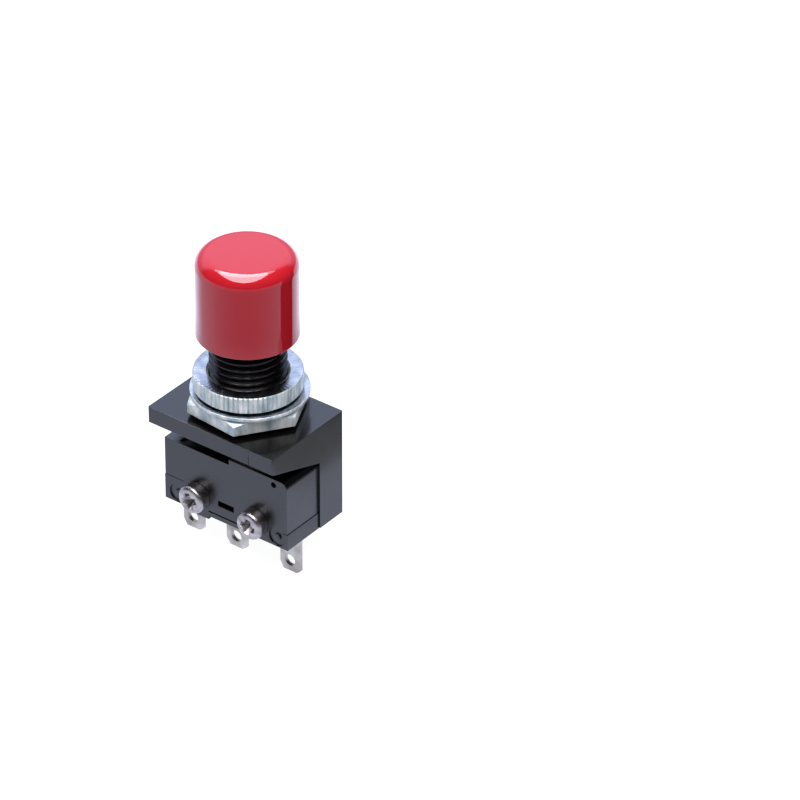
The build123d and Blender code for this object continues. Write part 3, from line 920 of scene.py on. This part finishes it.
# Lamps: metres; forward is towards the camera, right is as the camera sees it. A lamp that is
# mirrored gives no matt light, and the key gives matt light only
lamps = {
    "key": {"right": 0, "forward": 0.15, "height": 0.56, "wide": 0.62, "deep": 0.62,
            "watts": 5.4, "colour": "#FFF8F2", "mirrored": False},
    "softbox": {"right": -0.05, "forward": 0.02, "height": 0.5, "wide": 0.47, "deep": 0.76,
                "watts": 9.0, "colour": "#F8F6FF", "mirrored": True},
    "brightEnd": {"right": -0.04, "forward": -0.2, "height": 0.49, "wide": 0.5, "deep": 0.3,
                  "watts": 1.7, "colour": "#F8F6FF", "mirrored": True},
}
neighbour = {                      # the shape of a second switch, mirrored in this one's gloss
    "body": {"middle": (30.6, 20.5), "size": (20, 20), "height": (-21.5, -14), "colour": "#B4B6BC"},
    "head": {"middle": (30.6, 23.1), "size": (20, 15), "height": (-14, 19), "colour": "#0B0B0C"},
}


def awayFromCamera(turned=0):
    azimuth = math.radians(cameraPlace["azimuth"] + turned)
    return (-math.sin(azimuth), math.cos(azimuth), 0)


def makeFloor(form):
    bm = bmesh.new()
    bmesh.ops.create_grid(bm, x_segments=8, y_segments=8, size=form["floorSize"] / 2)
    floor = newPiece("floor", bm)
    floor.location.z = cadBox[0][2] - 0.05 * mm
    material, tree = newMaterial("white paper sweep")
    path = addNode(tree, "ShaderNodeLightPath")
    paper = addNode(tree, "ShaderNodeBsdfDiffuse", {"Color": hexColour(form["floorShade"])})
    glow = addNode(tree, "ShaderNodeEmission", {"Color": hexColour("#FFFFFF"),
                                                "Strength": form["floorGlow"]})
    spot = addNode(tree, "ShaderNodeNewGeometry").outputs["Position"]
    flat = addNode(tree, "ShaderNodeVectorMath", {"operation": "MULTIPLY", 1: (1, 1, 0)}, {0: spot})
    outward = addNode(tree, "ShaderNodeVectorMath", {"operation": "NORMALIZE"}, {0: flat.outputs[0]})
    behind = addNode(tree, "ShaderNodeVectorMath", {"operation": "DOT_PRODUCT", 1: awayFromCamera()},
                     {0: outward.outputs[0]})
    side = addNode(tree, "ShaderNodeMapRange", {
        "From Min": -1.0, "From Max": -0.2, "To Min": form["mirroredFront"], "To Max": form["mirroredSide"]},
        {"Value": behind.outputs["Value"]})
    back = addNode(tree, "ShaderNodeMapRange", {
        "interpolation_type": "SMOOTHSTEP", "From Min": 0.25, "From Max": 0.75,
        "To Max": form["mirroredBack"]}, {"Value": behind.outputs["Value"]})
    far = addNode(tree, "ShaderNodeMath", {"operation": "ADD"}, {0: side.outputs[0], 1: back.outputs[0]})
    distance = addNode(tree, "ShaderNodeVectorMath", {"operation": "LENGTH"}, {0: flat.outputs[0]})
    away = addNode(tree, "ShaderNodeMapRange", {"interpolation_type": "SMOOTHSTEP",
                                                "From Min": form["nearEnds"][0],
                                                "From Max": form["nearEnds"][1]},
                   {"Value": distance.outputs["Value"]})
    spread = addNode(tree, "ShaderNodeMix", {2: form["mirroredNear"]},
                     {0: away.outputs[0], 3: far.outputs[0]})
    mirrored = addNode(tree, "ShaderNodeEmission", {"Color": hexColour(form["mirroredFloor"])},
                       {"Strength": spread.outputs[0]})
    lit = addNode(tree, "ShaderNodeAddShader", {}, {0: paper.outputs[0], 1: glow.outputs[0]})
    seen = addNode(tree, "ShaderNodeMath", {"operation": "MAXIMUM"},
                   {0: path.outputs["Is Camera Ray"], 1: path.outputs["Is Transmission Ray"]})
    direct = addNode(tree, "ShaderNodeMixShader", {}, {0: seen.outputs[0], 1: paper.outputs[0],
                                                       2: lit.outputs[0]})
    final = addNode(tree, "ShaderNodeMixShader", {}, {0: path.outputs["Is Glossy Ray"], 1: direct.outputs[0],
                                                      2: mirrored.outputs[0]})
    closeMaterial(tree, final)
    floor.data.materials.append(material)


def makeSky(form):
    world = bpy.data.worlds.new("studio")
    bpy.context.scene.world = world
    world.use_nodes = True
    tree = world.node_tree
    tree.nodes.clear()
    direction = addNode(tree, "ShaderNodeTexCoord").outputs["Generated"]
    height = addNode(tree, "ShaderNodeSeparateXYZ", {}, {0: direction})
    behind = addNode(tree, "ShaderNodeVectorMath", {
        "operation": "DOT_PRODUCT", 1: awayFromCamera(form["backTurned"])}, {0: direction})
    # bright behind the object only, and dimmer near the floor
    back = addNode(tree, "ShaderNodeMapRange", {"interpolation_type": "SMOOTHSTEP", "From Min": 0.35,
                                                "From Max": 0.62}, {"Value": behind.outputs["Value"]})
    low = addNode(tree, "ShaderNodeMapRange", {"interpolation_type": "SMOOTHSTEP", "From Min": 0.3,
                                               "From Max": 0.5, "To Min": 0.5},
                  {"Value": height.outputs["Z"]})
    share = addNode(tree, "ShaderNodeMath", {"operation": "MULTIPLY"},
                    {0: back.outputs[0], 1: low.outputs[0]})
    room = addNode(tree, "ShaderNodeBackground", {"Color": hexColour(form["darkRoom"]), "Strength": 1.0})
    bright = addNode(tree, "ShaderNodeBackground", {"Color": hexColour(form["backSky"]),
                                                    "Strength": form["backSkyStrength"]})
    mirrored = addNode(tree, "ShaderNodeMixShader", {}, {0: share.outputs[0], 1: room.outputs[0],
                                                         2: bright.outputs[0]})
    plain = addNode(tree, "ShaderNodeBackground", {"Color": hexColour(form["plainSky"]),
                                                   "Strength": form["plainSkyStrength"]})
    white = addNode(tree, "ShaderNodeBackground", {"Color": hexColour("#FFFFFF"), "Strength": 1.0})
    path = addNode(tree, "ShaderNodeLightPath")
    gloss = addNode(tree, "ShaderNodeMixShader", {}, {0: path.outputs["Is Glossy Ray"], 1: plain.outputs[0],
                                                      2: mirrored.outputs[0]})
    seen = addNode(tree, "ShaderNodeMath", {"operation": "MAXIMUM"},
                   {0: path.outputs["Is Camera Ray"], 1: path.outputs["Is Transmission Ray"]})
    final = addNode(tree, "ShaderNodeMixShader", {}, {0: seen.outputs[0], 1: gloss.outputs[0],
                                                      2: white.outputs[0]})
    addNode(tree, "ShaderNodeOutputWorld", {}, {"Surface": final.outputs[0]})


def makeLamp(name, form):
    lamp = bpy.data.lights.new(name, "AREA")
    lamp.shape = "ELLIPSE"
    lamp.size = form["wide"]
    lamp.size_y = form["deep"]
    lamp.energy = form["watts"]
    lamp.color = hexColour(form["colour"])[:3]
    light = bpy.data.objects.new(name, lamp)
    bpy.context.scene.collection.objects.link(light)
    light.visible_glossy = form["mirrored"]
    light.visible_diffuse = not form["mirrored"]
    turn = Matrix.Rotation(math.radians(cameraPlace["azimuth"]), 4, "Z")
    light.matrix_world = turn @ Matrix.Translation((form["right"], -form["forward"], form["height"]))


def makeNeighbour(part, form):
    x, y = form["middle"]
    wide, deep = form["size"]
    foot, top = form["height"]
    block = boxForm("neighbour_" + part, (x - wide / 2, y - deep / 2, foot),
                    (x + wide / 2, y + deep / 2, top))
    material, tree = newMaterial("card " + part)
    closeMaterial(tree, addNode(tree, "ShaderNodeEmission", {"Color": hexColour(form["colour"])}))
    block.data.materials.append(material)
    block.visible_camera = False
    block.visible_diffuse = False
    block.visible_shadow = False


makeFloor(studio)
makeSky(studio)
for name, form in lamps.items():
    makeLamp(name, form)
for part, form in neighbour.items():
    makeNeighbour(part, form)
bpy.context.scene.view_settings.view_transform = "Standard"
print("studio made")
